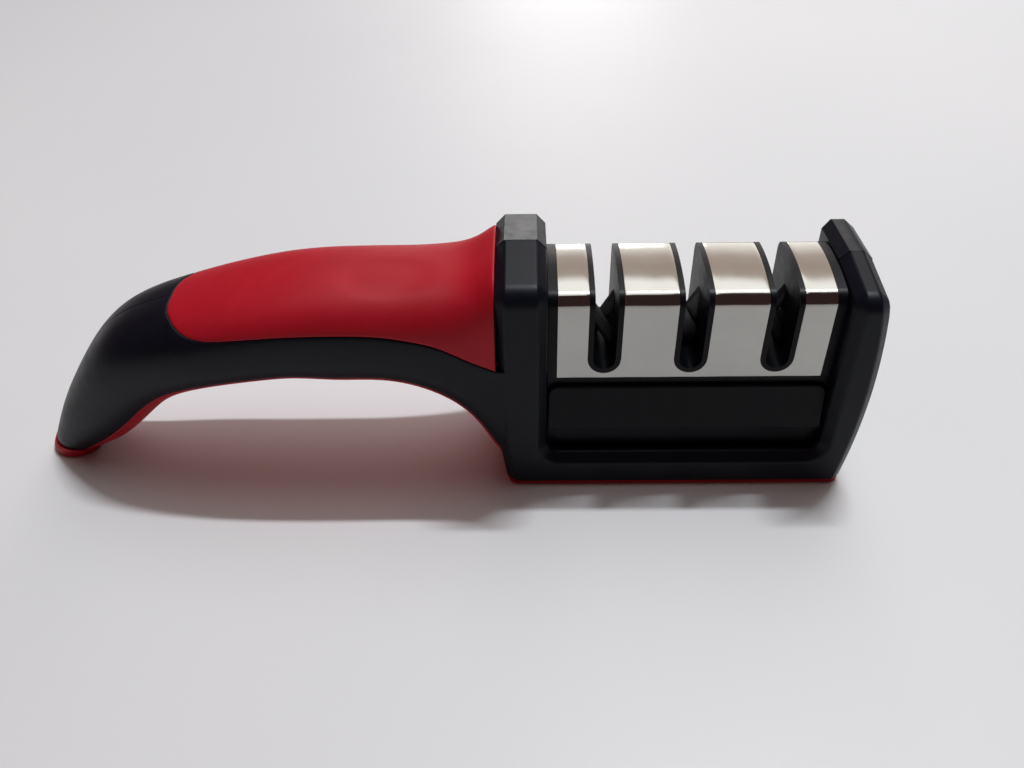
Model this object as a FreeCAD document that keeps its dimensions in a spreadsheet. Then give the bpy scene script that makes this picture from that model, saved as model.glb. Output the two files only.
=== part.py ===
"""Three-stage pull-through knife sharpener: arched handle, U-shaped head frame and slotted steel cover.

Millimetres. +X runs from the handle's foot to the head, +Z is up, and the object is symmetric about
the plane y = 0, where its two body shells meet. The origin is on the table under the object's middle.
"""
import FreeCAD, Part
import math
import os
import Sketcher
from FreeCAD import Rotation, Vector

DIMENSIONS = {
    # whole object
    "length_overall": 205.0,
    "half_depth": 17.6,
    "sole_thickness": 1.6,
    "wall": 2.2,
    "edge_chamfer": 2.2,
    # head frame, positions along X measured from the object's middle
    "left_post_outer": 15.3,
    "left_post_inner": 27.0,
    "right_post_inner": 93.1,
    "frame_toe": 17.2,
    "frame_heel": 100.2,
    "bar_top": 9.8,
    "left_ridge": 60.9,
    "left_eave": 57.7,
    "right_ridge": 57.1,
    "right_eave": 55.6,
    "eave_radius": 3.0,
    "recess_corner": 3.5,
    # core, apron plates and steel cover
    "core_foot_half_depth": 12.8,
    "core_foot_top": 16.2,
    "core_gap": 0.2,
    "plate_thickness": 2.4,
    "cover_half_depth": 12.2,
    "cover_thickness": 0.7,
    "cover_top": 54.4,
    "cover_crown_radius": 50.0,
    "cover_bottom": 30.7,
    "cover_end_gap": 2.3,
    "cover_bend": 3.5,
    "apron_top": 28.2,
    "apron_reach_bottom": 14.6,
    "apron_reach_top": 12.7,
    "apron_corner": 2.4,
    # knife slots
    "slot_pitch": 19.84,
    "slot_half_width": 3.8,
    "slot_floor": 32.1,
    "slot_lip": 1.2,
    # sharpening elements
    "element_lean": 29.0,
    "rod_radius": 1.5,
    "rod_upper_length": 13.0,
    "rod_lower_length": 8.0,
    "element_clearance": 0.1,
    "coarse_apex": 41.4,
    "medium_apex": 42.0,
    "fine_apex": 42.6,
    "blade_thickness": 1.8,
    "blade_width": 5.0,
    # soft parts
    "skin": 2.0,
    "strip_skin": 1.4,
    "strip_half_width": 15.0,
    "strip_depth_share": 0.3,
    "handle_wall": 4.0,
    # fasteners
    "screw_shank": 2.4,
    "screw_head": 4.4,
    "screw_head_height": 1.6,
    "screw_seat": 8.0,
    "screw_recess_width": 0.8,
    "screw_recess_depth": 0.9,
    "handle_screw_length": 12.0,
    "head_screw_length": 15.0,
    "plate_screw_length": 5.0,
    "boss_diameter": 6.4,
    "handle_boss_reach": 13.5,
    "head_boss_reach": 16.0,
}

# Handle sections from the head to the foot: crest (x, z), underside (x, z), half width and squareness.
# Each section is a superellipse in the plane through its crest and its underside.
HANDLE_SECTIONS = [
    ((18.6, 60.0), (18.6, 1.9), 17.5, 4.8),
    ((15.3, 59.2), (15.3, 6.4), 17.3, 4.2),
    ((11.0, 56.6), (11.4, 13.6), 17.2, 3.6),
    ((3.1, 54.9), (5.2, 21.3), 17.2, 3.0),
    ((-9.4, 54.6), (-8.5, 27.6), 17.2, 2.6),
    ((-25.1, 54.2), (-22.0, 28.4), 17.2, 2.6),
    ((-34.0, 53.2), (-31.0, 29.1), 17.1, 2.6),
    ((-43.5, 51.3), (-40.0, 28.5), 17.0, 2.6),
    ((-59.2, 47.2), (-53.0, 26.1), 16.2, 2.6),
    ((-76.3, 40.3), (-64.2, 21.3), 14.3, 2.6),
    ((-87.8, 27.6), (-73.4, 12.9), 11.9, 2.5),
    ((-96.0, 14.6), (-82.4, 5.2), 9.2, 2.4),
    ((-102.5, 1.6), (-90.2, 1.6), 6.6, 2.2),
]
SECTION_POINTS = 32
# Where each closed section begins: high on its side, away from the planes that cut the handle.
SEAM_ANGLE = math.pi / 4

# Lower edge of the grip in the side view, from the head to its round left end.
GRIP_EDGE = [
    (15.3, 36.7), (9.2, 39.6), (2.7, 43.2), (-4.0, 45.2), (-10.8, 46.3), (-17.5, 46.6), (-31.3, 46.3),
    (-43.8, 45.1), (-52.6, 44.6), (-56.2, 45.3), (-59.0, 46.2), (-61.4, 47.0), (-62.6, 50.0),
]
GRIP_REGION_TOP = 70.0

# Screw places: (x, z) on the parting plane for the shells, (x, y) under the core for its plate.
HANDLE_SCREWS = [(-62.0, 34.5), (-22.0, 40.5)]
HEAD_SCREWS = [(21.2, 47.0), (21.2, 12.0), (97.6, 45.0), (97.6, 12.0)]
PLATE_SCREWS = [(34.0, -6.0), (34.0, 6.0), (86.0, -6.0), (86.0, 6.0)]

doc = FreeCAD.newDocument("KnifeSharpener")
sheet = doc.addObject("Spreadsheet::Sheet", "Dimensions")
for row, (alias, number) in enumerate(DIMENSIONS.items(), start=1):
    sheet.set(f"A{row}", alias)
    sheet.set(f"B{row}", str(number))
    sheet.setAlias(f"B{row}", alias)
doc.recompute()


class Size:
    """A length that keeps its number and the spreadsheet expression that it comes from."""

    def __init__(self, value, text):
        self.value = float(value)
        self.text = text

    def combined(self, other, sign, result):
        other_text = other.text if isinstance(other, Size) else repr(float(other))
        return Size(result, f"({self.text} {sign} {other_text})")

    def __add__(self, other):
        return self.combined(other, "+", self.value + number_of(other))

    def __sub__(self, other):
        return self.combined(other, "-", self.value - number_of(other))

    def __mul__(self, other):
        return self.combined(other, "*", self.value * number_of(other))

    def __neg__(self):
        return Size(-self.value, f"(-1 * {self.text})")


def number_of(size):
    """The plain number of a Size or of a number."""
    return size.value if isinstance(size, Size) else float(size)


def cell(alias):
    """The Size held in a spreadsheet cell."""
    return Size(DIMENSIONS[alias], f"{sheet.Name}.{alias}")


def bind(thing, path, size):
    """Ties a property or constraint to the spreadsheet."""
    thing.setExpression(path, size.text)


HALF_DEPTH = cell("half_depth")
WALL = cell("wall")
SOLE = cell("sole_thickness")
RECESS_MIDDLE = (cell("left_post_inner") + cell("right_post_inner")) * 0.5
SLOT_PITCH = cell("slot_pitch")
SLOT_CENTRES = [RECESS_MIDDLE - SLOT_PITCH, RECESS_MIDDLE, RECESS_MIDDLE + SLOT_PITCH]
FLOOR_TOP = SOLE + WALL
LIP_HALF_WIDTH = cell("slot_half_width") - cell("slot_lip")
CORE_LEFT = cell("left_post_inner") + cell("core_gap")
CORE_RIGHT = cell("right_post_inner") - cell("core_gap")
PLATE_TOP = FLOOR_TOP + cell("plate_thickness")
CORE_HALF_DEPTH = cell("cover_half_depth") - cell("cover_thickness")
ZERO = SOLE * 0.0

FRONT = -1
REAR = 1
SIDE_NAMES = {FRONT: "front", REAR: "rear"}


# ---------------------------------------------------------------- sketch and body helpers

def new_body(label):
    """An empty PartDesign body named after its sub-part."""
    body = doc.addObject("PartDesign::Body", label)
    body.Label = label
    return body


def new_sketch(body, name, plane, lift=None):
    """A sketch on one of the body's own origin planes, moved along the plane's normal by lift."""
    sketch = body.newObject("Sketcher::SketchObject", name)
    support = [item for item in body.Origin.OriginFeatures if item.Role == plane][0]
    sketch.AttachmentSupport = (support, "")
    sketch.MapMode = "FlatFace"
    if lift is not None:
        bind(sketch, "AttachmentOffset.Base.z", lift)
    return sketch


def pin(sketch, name, kind, element, point, size):
    """Holds one point of the sketch at a signed distance from the sketch's origin."""
    index = sketch.addConstraint(Sketcher.Constraint(kind, -1, 1, element, point, size.value))
    sketch.renameConstraint(index, name)
    bind(sketch, f"Constraints.{name}", size)


def draw_polygon(sketch, corners, arc_side=None, arc_radius=None, arc_top=None):
    """A closed outline whose corners are pairs of Sizes, listed anticlockwise.

    The side that starts at corner arc_side may be an arc instead, with its centre on the upright axis
    and its summit at arc_top; the heights of that side's two corners follow from the arc.
    """
    points = [Vector(across.value, up.value, 0) for across, up in corners]
    count = len(points)
    free_corners = set() if arc_side is None else {arc_side, (arc_side + 1) % count}
    for index in range(count):
        start = points[index]
        end = points[(index + 1) % count]
        if index == arc_side:
            centre = Vector(0, arc_top.value - arc_radius.value, 0)
            circle = Part.Circle(centre, Vector(0, 0, 1), arc_radius.value)
            angles = [math.atan2(point.y - centre.y, point.x) for point in (start, end)]
            sketch.addGeometry(Part.ArcOfCircle(circle, angles[0], angles[1]), False)
        else:
            sketch.addGeometry(Part.LineSegment(start, end), False)
    for index in range(count):
        sketch.addConstraint(Sketcher.Constraint("Coincident", index, 2, (index + 1) % count, 1))
    for index, (across, up) in enumerate(corners):
        pin(sketch, f"across_{index}", "DistanceX", index, 1, across)
        if index not in free_corners:
            pin(sketch, f"up_{index}", "DistanceY", index, 1, up)
    if arc_side is not None:
        pin(sketch, "arc_across", "DistanceX", arc_side, 3, ZERO)
        pin(sketch, "arc_up", "DistanceY", arc_side, 3, arc_top - arc_radius)
        set_radius(sketch, arc_side, arc_radius)


def set_radius(sketch, element, radius):
    """Ties the radius of a circle or arc to the spreadsheet."""
    index = sketch.addConstraint(Sketcher.Constraint("Radius", element, radius.value))
    sketch.renameConstraint(index, f"radius_{element}")
    bind(sketch, f"Constraints.radius_{element}", radius)


def draw_box(sketch, left, right, bottom, top):
    """A rectangle between four Sizes."""
    draw_polygon(sketch, [(left, bottom), (right, bottom), (right, top), (left, top)])


def draw_circle(sketch, across, up, radius):
    """A circle with its centre and radius tied to the spreadsheet."""
    centre = Vector(across.value, up.value, 0)
    element = sketch.addGeometry(Part.Circle(centre, Vector(0, 0, 1), radius.value), False)
    pin(sketch, f"centre_across_{element}", "DistanceX", element, 3, across)
    pin(sketch, f"centre_up_{element}", "DistanceY", element, 3, up)
    set_radius(sketch, element, radius)


def pad(body, sketch, length, both_ways=False):
    """A pad of the sketch along its normal, or to both sides of it."""
    feature = body.newObject("PartDesign::Pad", "Pad")
    feature.Profile = sketch
    bind(feature, "Length", length)
    feature.SideType = "Symmetric" if both_ways else "One side"
    doc.recompute()
    return feature


def pocket(body, sketch, length, both_ways=False, towards_normal=False):
    """A pocket of the sketch, checked to have taken material away."""
    before = body.Shape.Volume
    feature = body.newObject("PartDesign::Pocket", "Pocket")
    feature.Profile = sketch
    bind(feature, "Length", length)
    feature.SideType = "Symmetric" if both_ways else "One side"
    feature.Reversed = towards_normal
    doc.recompute()
    if body.Shape.Volume > before - 0.01:
        raise RuntimeError(f"{body.Label}: {sketch.Name} cut nothing")
    return feature


def edge_names(shape, wanted):
    """Names of the edges for which wanted(middle, direction) is true; only straight edges are asked."""
    names = []
    for index, edge in enumerate(shape.Edges, start=1):
        if edge.Curve.TypeId != "Part::GeomLine":
            continue
        middle = edge.valueAt((edge.FirstParameter + edge.LastParameter) / 2)
        if wanted(middle, edge.tangentAt(edge.FirstParameter)):
            names.append(f"Edge{index}")
    return names


def round_edges(body, radius, wanted):
    """Fillets the straight edges picked by wanted."""
    base = body.Tip
    feature = body.newObject("PartDesign::Fillet", "Fillet")
    feature.Base = (base, edge_names(base.Shape, wanted))
    bind(feature, "Radius", radius)
    doc.recompute()
    return feature


def solid_feature(label, shape):
    """A sub-part whose shape is worked out by Part's own functions."""
    feature = doc.addObject("Part::Feature", label)
    feature.Label = label
    feature.Shape = shape
    feature.Placement = FreeCAD.Placement()
    return feature


def main_solid(shape):
    """The one real solid of a boolean result, without the slivers that curved cuts can leave."""
    largest = max(shape.Solids, key=lambda solid: solid.Volume)
    if largest.Volume < 0.98 * shape.Volume:
        raise RuntimeError("a piece fell apart")
    return largest


def block(x_range, y_range, z_range):
    """A box between three pairs of numbers."""
    size = [high - low for low, high in (x_range, y_range, z_range)]
    return Part.makeBox(size[0], size[1], size[2], Vector(x_range[0], y_range[0], z_range[0]))


# ---------------------------------------------------------------- handle

def superellipse(crest, underside, half_width, squareness):
    """A closed smooth section in the plane that holds its crest, its underside and the Y axis."""
    middle = (crest + underside) * 0.5
    rise = (crest - underside) * 0.5
    points = []
    for step in range(SECTION_POINTS):
        angle = SEAM_ANGLE + 2 * math.pi * (step + 0.5) / SECTION_POINTS
        across = math.cos(angle)
        up = math.sin(angle)
        reach = (abs(across) ** squareness + abs(up) ** squareness) ** (-1 / squareness)
        points.append(middle + Vector(0, half_width * reach * across, 0) + rise * reach * up)
    curve = Part.BSplineCurve()
    curve.interpolate(Points=points, PeriodicFlag=True)
    return Part.Wire([curve.toShape()])


def section_ends():
    """The crest and the underside of every handle section as points."""
    return [(Vector(crest[0], 0, crest[1]), Vector(underside[0], 0, underside[1]))
            for crest, underside, _, _ in HANDLE_SECTIONS]


def handle_solid(inset=0.0):
    """The handle's whole outer form, shrunk by inset all round."""
    wires = []
    for (crest, underside), (_, _, half_width, squareness) in zip(section_ends(), HANDLE_SECTIONS):
        inward = (underside - crest).normalize() * inset
        wires.append(superellipse(crest + inward, underside - inward, half_width - inset, squareness))
    return Part.makeLoft(wires, True, False)


def grip_region():
    """Everything above the grip's lower edge: a sweep down to the head, a flat run and a round left end."""
    depth = 2 * DIMENSIONS["half_depth"] + 10
    edge_points = [Vector(x, 0, z) for x, z in GRIP_EDGE]
    first, last = edge_points[0], edge_points[-1]
    lower_edge = Part.BSplineCurve()
    lower_edge.interpolate(edge_points)
    straight = [last, Vector(last.x, 0, GRIP_REGION_TOP), Vector(first.x, 0, GRIP_REGION_TOP), first]
    edges = [lower_edge.toShape()]
    edges += [Part.LineSegment(start, end).toShape() for start, end in zip(straight, straight[1:])]
    face = Part.Face(Part.Wire(edges))
    face.translate(Vector(0, -depth / 2, 0))
    return face.extrude(Vector(0, depth, 0))


def run_past(line, length):
    """A chain of points with both of its ends carried on by a length."""
    before = (line[0] - line[1]).normalize() * length
    after = (line[-1] - line[-2]).normalize() * length
    return [line[0] + before] + line + [line[-1] + after]


def strip_region():
    """A prism along the handle's underside, as wide as the soft strip, that runs past both ends."""
    half_width = DIMENSIONS["strip_half_width"]
    depth_share = DIMENSIONS["strip_depth_share"]
    inside = [underside + (crest - underside) * depth_share for crest, underside in section_ends()]
    outside = [underside + (underside - crest).normalize() * 3.0 for crest, underside in section_ends()]
    outline = run_past(inside, 1.0) + run_past(outside, 1.0)[::-1]
    face = Part.Face(Part.makePolygon(outline + outline[:1]))
    face.translate(Vector(0, -half_width, 0))
    return face.extrude(Vector(0, 2 * half_width, 0))


# ---------------------------------------------------------------- head frame

def frame_outline():
    """Front view of the U: toe, bar, two posts, and a heel side that bows outwards."""
    value = DIMENSIONS
    top = value["left_ridge"] + 1
    corner = value["recess_corner"]
    slant = corner * (1 - math.sqrt(0.5))
    left = value["left_post_inner"]
    right = value["right_post_inner"]
    bar = value["bar_top"]
    bottom = value["sole_thickness"]
    bulge = value["length_overall"] / 2
    heel_top = Vector(value["frame_heel"] - 0.7, 0, top)
    heel = Part.Arc(Vector(value["frame_heel"], 0, bottom), Vector(bulge, 0, 28.5), heel_top)
    chain = [heel_top, Vector(right, 0, top), Vector(right, 0, bar + corner)]
    edges = [heel.toShape()]
    edges += [Part.LineSegment(start, end).toShape() for start, end in zip(chain, chain[1:])]
    edges.append(Part.Arc(chain[-1], Vector(right - slant, 0, bar + slant),
                          Vector(right - corner, 0, bar)).toShape())
    edges.append(Part.LineSegment(Vector(right - corner, 0, bar), Vector(left + corner, 0, bar)).toShape())
    edges.append(Part.Arc(Vector(left + corner, 0, bar), Vector(left + slant, 0, bar + slant),
                          Vector(left, 0, bar + corner)).toShape())
    chain = [Vector(left, 0, bar + corner), Vector(left, 0, top), Vector(value["left_post_outer"], 0, top),
             Vector(value["left_post_outer"], 0, 14.0), Vector(value["frame_toe"], 0, bottom),
             Vector(value["frame_heel"], 0, bottom)]
    edges += [Part.LineSegment(start, end).toShape() for start, end in zip(chain, chain[1:])]
    return Part.Wire(edges)


def roof_cut(x_range, ridge, eave):
    """What is above a two-sided roof with its ridge on the plane y = 0."""
    reach = DIMENSIONS["half_depth"] + 5
    low = eave - (ridge - eave) * 5 / DIMENSIONS["half_depth"]
    outline = [Vector(x_range[0], -reach, low), Vector(x_range[0], 0, ridge), Vector(x_range[0], reach, low),
               Vector(x_range[0], reach, ridge + 20), Vector(x_range[0], -reach, ridge + 20)]
    face = Part.Face(Part.makePolygon(outline + outline[:1]))
    return face.extrude(Vector(x_range[1] - x_range[0], 0, 0))


def frame_block():
    """The U-shaped frame as one solid with rounded eaves and chamfered outer edges."""
    value = DIMENSIONS
    half = value["half_depth"]
    face = Part.Face(frame_outline())
    face.translate(Vector(0, -half, 0))
    solid = face.extrude(Vector(0, 2 * half, 0))
    solid = solid.cut(roof_cut((0.0, 60.0), value["left_ridge"], value["left_eave"]))
    solid = solid.cut(roof_cut((60.0, 120.0), value["right_ridge"], value["right_eave"]))
    solid = solid.makeFillet(value["eave_radius"], [
        edge for edge in solid.Edges
        if abs(edge.tangentAt(edge.FirstParameter).x) > 0.9
        and edge.BoundBox.ZMin > value["right_eave"] - 1 and abs(abs(edge.BoundBox.YMin) - half) < 0.01])
    roof_start = value["right_eave"] - 2 * value["eave_radius"]
    edges = []
    for edge in solid.Edges:
        halfway = (edge.FirstParameter + edge.LastParameter) / 2
        middle = edge.valueAt(halfway)
        along = edge.tangentAt(halfway)
        by_roof = middle.z > roof_start
        on_face = abs(abs(middle.y) - half) < 0.01 and middle.z > value["sole_thickness"] + 0.01
        rim = on_face and not (by_roof and abs(along.x) > 0.9)
        gable = not on_face and by_roof and abs(along.x) < 0.05 and abs(middle.y) > 0.01
        if rim or gable:
            edges.append(edge)
    return solid.makeChamfer(value["edge_chamfer"], edges)


def frame_hollows():
    """The room inside the posts and the bar, and the well that the core stands in."""
    value = DIMENSIONS
    wall = value["wall"]
    inside = value["half_depth"] - wall
    floor = value["sole_thickness"] + wall
    left = (value["left_post_outer"] + wall, value["left_post_inner"] - wall)
    right = (value["right_post_inner"] + wall, value["length_overall"] / 2 - wall - 1.5)
    well = value["core_foot_half_depth"] + 0.1
    return [
        block(left, (-inside, inside), (floor, value["left_eave"] - wall - 1)),
        block(right, (-inside, inside), (floor, value["right_eave"] - wall - 1)),
        block((left[0], right[1]), (-inside, inside), (floor, value["bar_top"] - wall)),
        block((value["left_post_inner"], value["right_post_inner"]), (-well, well), (floor, 30.0)),
    ]


# ---------------------------------------------------------------- body shells and soft parts

def make_body():
    """Front and rear shells, the grip skin over the handle and the strip under it."""
    value = DIMENSIONS
    outer = handle_solid()
    grip = outer.cut(handle_solid(value["skin"])).common(grip_region())
    handle_end = block((-110.0, value["left_post_outer"]), (-30.0, 30.0), (-5.0, 70.0))
    strip = outer.cut(handle_solid(value["strip_skin"])).common(strip_region()).common(handle_end)
    (toe_x, _), (inner_x, _), sole_half_width, squareness = HANDLE_SECTIONS[-1]
    sole_wire = superellipse(Vector(toe_x, 0, 0), Vector(inner_x, 0, 0), sole_half_width, squareness)
    sole = Part.Face(sole_wire).extrude(Vector(0, 0, value["sole_thickness"]))
    whole = frame_block().fuse(outer)
    whole = whole.cut(Part.makeCompound(frame_hollows()))
    cavity = handle_solid(value["handle_wall"]).common(
        block((-110.0, 19.0), (-30.0, 30.0), (value["sole_thickness"] + value["handle_wall"], 70.0)))
    whole = whole.cut(cavity)
    whole = whole.cut(grip).cut(strip)
    return [
        make_shell(FRONT, whole),
        make_shell(REAR, whole),
        solid_feature("soft_grip_skin", grip),
        solid_feature("soft_underside_strip", main_solid(strip.fuse(sole))),
    ]


def make_shell(side, whole):
    """One half of the body with its screw bosses; the screws go in from the rear."""
    value = DIMENSIONS
    far = value["half_depth"] + 10
    half_space = block((-120.0, 120.0), (0.0, far) if side == REAR else (-far, 0.0), (-5.0, 80.0))
    shell = whole.common(half_space)
    inward = Vector(0, side, 0)
    seat = value["screw_seat"]
    groups = [(HANDLE_SCREWS, value["handle_boss_reach"], value["handle_screw_length"]),
              (HEAD_SCREWS, value["head_boss_reach"], value["head_screw_length"])]
    for places, boss_reach, screw_length in groups:
        for x, z in places:
            start = Vector(x, 0, z)
            shell = shell.fuse(Part.makeCylinder(value["boss_diameter"] / 2, boss_reach, start, inward))
            if side == FRONT:
                hole = Part.makeCylinder(value["screw_shank"] / 2, screw_length - seat + 0.5, start, inward)
            else:
                hole = Part.makeCylinder(value["screw_shank"] / 2, far, start, inward)
                head_hole = Part.makeCylinder(value["screw_head"] / 2 + 0.15, far, Vector(x, seat, z), inward)
                hole = hole.fuse(head_hole)
            shell = shell.cut(hole)
    return solid_feature(f"{SIDE_NAMES[side]}_body_shell", main_solid(shell))


def make_base_pad():
    """Soft pad under the head, with round corners."""
    body = new_body("head_base_pad")
    sketch = new_sketch(body, "PadOutline", "XY_Plane")
    edge = HALF_DEPTH - 0.5
    draw_box(sketch, cell("frame_toe") + 0.4, cell("frame_heel") - 0.4, -edge, edge)
    pad(body, sketch, SOLE)
    round_edges(body, cell("edge_chamfer"), lambda middle, along: abs(along.z) > 0.9)
    return body


# ---------------------------------------------------------------- sharpening elements

def lean_placement(centre, y, apex, half_width, lean, start):
    """Where an element's long axis begins, so that the crossing pair's notch has its apex at that height."""
    rise = half_width / math.sin(math.radians(abs(lean)))
    crossing = Vector(centre, y, apex - rise)
    turn = Rotation(Vector(0, 1, 0), lean)
    return FreeCAD.Placement(crossing + turn.multVec(Vector(0, 0, -start)), turn)


def make_rods(label, centre, apex):
    """A pair of round rods, crossing like an X, and the grooves that hold them."""
    value = DIMENSIONS
    radius = cell("rod_radius")
    length = cell("rod_upper_length") + cell("rod_lower_length")
    offset = value["rod_radius"] + value["element_clearance"]
    grooves = {}
    for side in (FRONT, REAR):
        lean = side * value["element_lean"]
        place = lean_placement(centre.value, side * offset, apex.value, radius.value, lean,
                               value["rod_lower_length"])
        rod = doc.addObject("Part::Cylinder", f"{label}_{SIDE_NAMES[side]}_rod")
        rod.Label = f"{label}_{SIDE_NAMES[side]}_rod"
        bind(rod, "Radius", radius)
        bind(rod, "Height", length)
        rod.Placement = place
        groove = doc.addObject("Part::Box", f"{label}_{SIDE_NAMES[side]}_groove")
        bind(groove, "Length", radius * 2.0)
        bind(groove, "Width", radius + cell("element_clearance"))
        bind(groove, "Height", length)
        low = -offset if side == REAR else 0.0
        corner = FreeCAD.Placement(Vector(-value["rod_radius"], low, 0), Rotation())
        groove.Placement = place.multiply(corner)
        grooves[side] = [rod, groove]
    return grooves


def make_blades(label, centre, apex):
    """A pair of flat tungsten carbide blades, crossing like an X, and the grooves that hold them."""
    value = DIMENSIONS
    half_width = cell("blade_width") * 0.5
    length = cell("rod_upper_length") + cell("rod_lower_length")
    bevel = cell("blade_thickness") * 0.5
    grooves = {}
    for side in (FRONT, REAR):
        lean = side * value["element_lean"]
        near = value["element_clearance"] if side == REAR else -value["element_clearance"]
        place = lean_placement(centre.value, near, apex.value, half_width.value, lean,
                               value["rod_lower_length"])
        blade = new_body(f"{label}_{SIDE_NAMES[side]}_blade")
        outline = new_sketch(blade, "BladeOutline", "XZ_Plane")
        draw_polygon(outline, [(-half_width, bevel), (-half_width + bevel, ZERO), (half_width - bevel, ZERO),
                               (half_width, bevel), (half_width, length - bevel),
                               (half_width - bevel, length), (-half_width + bevel, length),
                               (-half_width, length - bevel)])
        feature = pad(blade, outline, cell("blade_thickness"))
        feature.Reversed = side == REAR
        blade.Placement = place
        slot = doc.addObject("Part::Box", f"{label}_{SIDE_NAMES[side]}_groove")
        bind(slot, "Length", half_width * 2.0)
        bind(slot, "Width", cell("blade_thickness") + cell("element_clearance"))
        bind(slot, "Height", length)
        low = -value["element_clearance"] if side == REAR else -value["blade_thickness"]
        corner = FreeCAD.Placement(Vector(-half_width.value, low, 0), Rotation())
        slot.Placement = place.multiply(corner)
        grooves[side] = [slot]
    return grooves


# ---------------------------------------------------------------- core, plate, aprons and cover

def crown_height(across, radius, top):
    """Height of the crowned roof above a point across from the middle, as a starting value only."""
    drop = radius.value - math.sqrt(radius.value ** 2 - across.value ** 2)
    return Size(top.value - drop, top.text)


def bend_edges(half_depth):
    """Picks the long edges where a roof meets the upright faces that far from the middle."""
    return lambda middle, along: (abs(along.x) > 0.9 and middle.z > 45
                                  and abs(abs(middle.y) - half_depth.value) < 0.01)


def make_cover():
    """Bent sheet-steel cover, slightly crowned, with three slots over its top and down both faces."""
    body = new_body("steel_slot_cover")
    left = cell("left_post_inner") + cell("cover_end_gap")
    right = cell("right_post_inner") - cell("cover_end_gap")
    skins = [
        (cell("cover_half_depth"), cell("cover_bottom"), cell("cover_crown_radius"), cell("cover_top")),
        (CORE_HALF_DEPTH, cell("cover_bottom") - 1.0, cell("cover_crown_radius") - cell("cover_thickness"),
         cell("cover_top") - cell("cover_thickness")),
    ]
    for name, (edge, bottom, radius, top) in zip(("CoverOutside", "CoverInside"), skins):
        sketch = new_sketch(body, name, "YZ_Plane", left)
        shoulder = crown_height(edge, radius, top)
        draw_polygon(sketch, [(-edge, bottom), (edge, bottom), (edge, shoulder), (-edge, shoulder)],
                     2, radius, top)
        if name == "CoverOutside":
            pad(body, sketch, right - left)
        else:
            pocket(body, sketch, right - left, towards_normal=True)
    round_edges(body, cell("cover_bend") - cell("cover_thickness"), bend_edges(CORE_HALF_DEPTH))
    round_edges(body, cell("cover_bend"), bend_edges(cell("cover_half_depth")))
    cut_slots(body, cell("slot_half_width"))
    return body


def cut_slots(body, half_width):
    """Cuts the three round-ended knife slots right through a body from front to rear."""
    round_centre = cell("slot_floor") + cell("slot_half_width")
    for number, centre in enumerate(SLOT_CENTRES, start=1):
        mouth = new_sketch(body, f"SlotMouth{number}", "XZ_Plane")
        draw_box(mouth, centre - half_width, centre + half_width, round_centre, cell("cover_top") + 2.0)
        pocket(body, mouth, HALF_DEPTH * 4.0, both_ways=True)
        end = new_sketch(body, f"SlotEnd{number}", "XZ_Plane")
        draw_circle(end, centre, round_centre, half_width)
        pocket(body, end, HALF_DEPTH * 4.0, both_ways=True)


def make_core_half(side, cover, grooves, screw_holes):
    """Half of the black insert: its lips fill the cover's slots, and its grooves hold the elements."""
    label = f"{SIDE_NAMES[side]}_core_half"
    body = new_body(f"{label}_blank")
    outline = new_sketch(body, "CoreSection", "YZ_Plane", CORE_LEFT)
    foot = cell("core_foot_half_depth") * side
    wall_face = CORE_HALF_DEPTH * side
    lip_face = cell("cover_half_depth") * side
    radius = cell("cover_crown_radius")
    shoulder = crown_height(cell("cover_half_depth"), radius, cell("cover_top"))
    corners = [(ZERO, PLATE_TOP), (foot, PLATE_TOP), (foot, cell("core_foot_top")),
               (wall_face, cell("core_foot_top")), (wall_face, cell("cover_bottom")),
               (lip_face, cell("cover_bottom")), (lip_face, shoulder), (ZERO, cell("cover_top"))]
    arc_side = 6
    if side == FRONT:
        corners.reverse()
        arc_side = 0
    draw_polygon(outline, corners, arc_side, radius, cell("cover_top"))
    pad(body, outline, CORE_RIGHT - CORE_LEFT)
    round_edges(body, cell("cover_bend"), bend_edges(cell("cover_half_depth")))
    cut_slots(body, LIP_HALF_WIDTH)
    hollow = new_sketch(body, "Hollow", "XZ_Plane")
    draw_box(hollow, CORE_LEFT + WALL, CORE_RIGHT - WALL, PLATE_TOP + WALL * 2.0,
             cell("slot_floor") - WALL * 2.0)
    pocket(body, hollow, CORE_HALF_DEPTH - WALL, towards_normal=(side == FRONT))
    tools = doc.addObject("Part::MultiFuse", f"{label}_tools")
    tools.Shapes = [cover] + grooves + [screw_holes]
    core = doc.addObject("Part::Cut", label)
    core.Label = label
    core.Base = body
    core.Tool = tools
    doc.recompute()
    return core


def make_base_plate(screw_holes):
    """Plate under the core that holds its two halves together."""
    body = new_body("core_base_plate_blank")
    outline = new_sketch(body, "PlateOutline", "XY_Plane", FLOOR_TOP)
    edge = cell("core_foot_half_depth") - cell("core_gap")
    draw_box(outline, CORE_LEFT + 0.8, CORE_RIGHT - 0.8, -edge, edge)
    pad(body, outline, cell("plate_thickness"))
    plate = doc.addObject("Part::Cut", "core_base_plate")
    plate.Label = "core_base_plate"
    plate.Base = body
    plate.Tool = screw_holes
    return plate


def make_apron(side):
    """Sloping plate below the cover that closes the core's long side."""
    body = new_body(f"{SIDE_NAMES[side]}_apron_plate")
    section = new_sketch(body, "ApronSection", "YZ_Plane", CORE_LEFT)
    draw_polygon(section, [(CORE_HALF_DEPTH * side, cell("core_foot_top")),
                           (cell("apron_reach_bottom") * side, cell("core_foot_top")),
                           (cell("apron_reach_top") * side, cell("apron_top")),
                           (CORE_HALF_DEPTH * side, cell("apron_top"))])
    pad(body, section, CORE_RIGHT - CORE_LEFT)
    top = cell("apron_top").value
    round_edges(body, cell("apron_corner"),
                lambda middle, along: abs(along.y) > 0.9 and abs(middle.z - top) < 0.1)
    return body


# ---------------------------------------------------------------- fasteners

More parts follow.
